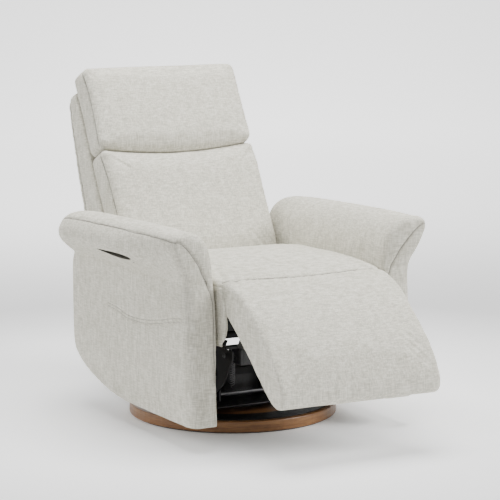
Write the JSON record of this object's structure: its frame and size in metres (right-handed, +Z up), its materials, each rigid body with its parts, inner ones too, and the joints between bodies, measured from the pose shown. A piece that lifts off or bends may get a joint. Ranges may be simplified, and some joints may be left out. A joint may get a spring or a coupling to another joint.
{
  "type": "glider recliner nursery chair",
  "caption": "Padded power glider recliner on a round swivel base, with flared arms, a tilting headrest and a footrest part way out.",
  "frame": {"origin": "on the floor, under the swivel axis, at the middle of the round base", "axes": "+Z up; the sitter faces -Y and the sitter's left is +X"},
  "size_m": [0.86, 1.3237, 0.9979],
  "materials": {
    "woven_fabric": "matte",
    "walnut_veneer": "satin",
    "black_steel": "satin",
    "zinc_steel": "satin",
    "dark_plastic": "matte",
    "plywood": "matte",
    "grey_felt": "matte"
  },
  "bodies": {
    "base": {"floor_felt": "grey_felt", "base_disc": "walnut_veneer", "base_trim_plate": "black_steel", "bearing_lower": "zinc_steel"},
    "turntable": {"hub_cover": "dark_plastic", "bearing_upper": "zinc_steel", "turntable_plate": "black_steel", "glider_bracket_right": "black_steel", "glider_bracket_left": "black_steel"},
    "front_links": {"link_front_right": "black_steel", "link_front_left": "black_steel", "glide_shaft_front": "zinc_steel"},
    "rear_links": {"link_rear_right": "black_steel", "link_rear_left": "black_steel", "glide_shaft_rear": "zinc_steel"},
    "seat_frame": {"cradle_plate_right": "black_steel", "cradle_plate_left": "black_steel", "mechanism_plate_right": "black_steel", "mechanism_plate_left": "black_steel", "cross_tube_front": "black_steel", "cross_tube_rear": "black_steel", "seat_rail_right": "woven_fabric", "seat_rail_left": "woven_fabric", "seat_webbing": "grey_felt", "seat_nose": "woven_fabric", "seat_cushion": "woven_fabric", "arm_side_right": "woven_fabric", "arm_side_left": "woven_fabric", "arm_pad_right": "woven_fabric", "arm_pad_left": "woven_fabric", "arm_top_right": "woven_fabric", "arm_top_left": "woven_fabric", "control_housing": "dark_plastic", "side_pocket": "woven_fabric", "recline_plate_right": "black_steel", "recline_plate_left": "black_steel", "recline_pin_right": "zinc_steel", "recline_pin_left": "zinc_steel", "footrest_hinge_right": "black_steel", "footrest_hinge_left": "black_steel", "footrest_motor": "dark_plastic", "recline_motor": "dark_plastic", "power_inlet": "dark_plastic"},
    "footrest": {"footrest_pad": "woven_fabric", "footrest_board": "plywood", "footrest_bracket_right": "black_steel", "footrest_bracket_left": "black_steel", "footrest_cross_tube": "black_steel"},
    "footrest_drive_rod": {"footrest_rod": "zinc_steel"},
    "backrest": {"back_frame": "black_steel", "back_cushion": "woven_fabric", "back_shell": "woven_fabric", "headrest_hinge": "black_steel"},
    "recline_drive_rod": {"recline_rod": "zinc_steel"},
    "headrest": {"headrest_cushion": "woven_fabric", "headrest_bracket": "black_steel"},
    "recline_key": {"recline_button": "dark_plastic"},
    "return_key": {"return_button": "dark_plastic"},
    "head_up_key": {"head_up_button": "dark_plastic"},
    "head_down_key": {"head_down_button": "dark_plastic"}
  },
  "joints": [
    {"name": "swivel", "type": "hinge", "parent": "base", "child": "turntable", "pos_m": [0, 0, 0.046], "axis": [0, 0, 1], "continuous": true},
    {"name": "glide", "type": "hinge", "parent": "turntable", "child": "front_links", "pos_m": [0, -0.13, 0.185], "axis": [1, 0, 0], "range_deg": [-25, 25]},
    {"name": "glide_rear", "type": "hinge", "parent": "turntable", "child": "rear_links", "pos_m": [0, 0.13, 0.185], "axis": [1, 0, 0], "range_deg": [-25.5, 25.5]},
    {"name": "glide_seat", "type": "hinge", "parent": "front_links", "child": "seat_frame", "pos_m": [0, -0.13, 0.085], "axis": [1, 0, 0], "range_deg": [-25.5, 25.5]},
    {"name": "footrest_swing", "type": "hinge", "parent": "seat_frame", "child": "footrest", "pos_m": [0, -0.46, 0.385], "axis": [-1, 0, 0], "range_deg": [-50, 40]},
    {"name": "footrest_drive", "type": "slide", "parent": "seat_frame", "child": "footrest_drive_rod", "axis": [0, -1, 0], "range_m": [-0.0735, 0.059]},
    {"name": "recline", "type": "hinge", "parent": "seat_frame", "child": "backrest", "pos_m": [0, 0.22668, 0.35344], "axis": [-1, 0, 0], "range_deg": [-10, 28]},
    {"name": "recline_drive", "type": "slide", "parent": "seat_frame", "child": "recline_drive_rod", "axis": [0, -1, 0], "range_m": [-0.011, 0.028]},
    {"name": "headrest_tilt", "type": "hinge", "parent": "backrest", "child": "headrest", "pos_m": [0, 0.34734, 0.7593], "axis": [1, 0, 0], "range_deg": [0, 30]},
    {"name": "recline_press", "type": "slide", "parent": "seat_frame", "child": "recline_key", "axis": [1, 0, 0], "range_m": [0, 0.002], "stiffness_N_per_m": 400},
    {"name": "return_press", "type": "slide", "parent": "seat_frame", "child": "return_key", "axis": [1, 0, 0], "range_m": [0, 0.002], "stiffness_N_per_m": 400},
    {"name": "head_up_press", "type": "slide", "parent": "seat_frame", "child": "head_up_key", "axis": [1, 0, 0], "range_m": [0, 0.002], "stiffness_N_per_m": 400},
    {"name": "head_down_press", "type": "slide", "parent": "seat_frame", "child": "head_down_key", "axis": [1, 0, 0], "range_m": [0, 0.002], "stiffness_N_per_m": 400}
  ],
  "couplings": [
    {"joint": "glide_rear", "follows": "glide", "ratio": 1},
    {"joint": "glide_seat", "follows": "glide", "ratio": -1},
    {"joint": "footrest_drive", "follows": "footrest_swing", "m_per_rad": 0.083},
    {"joint": "recline_drive", "follows": "recline", "m_per_rad": 0.055}
  ]
}
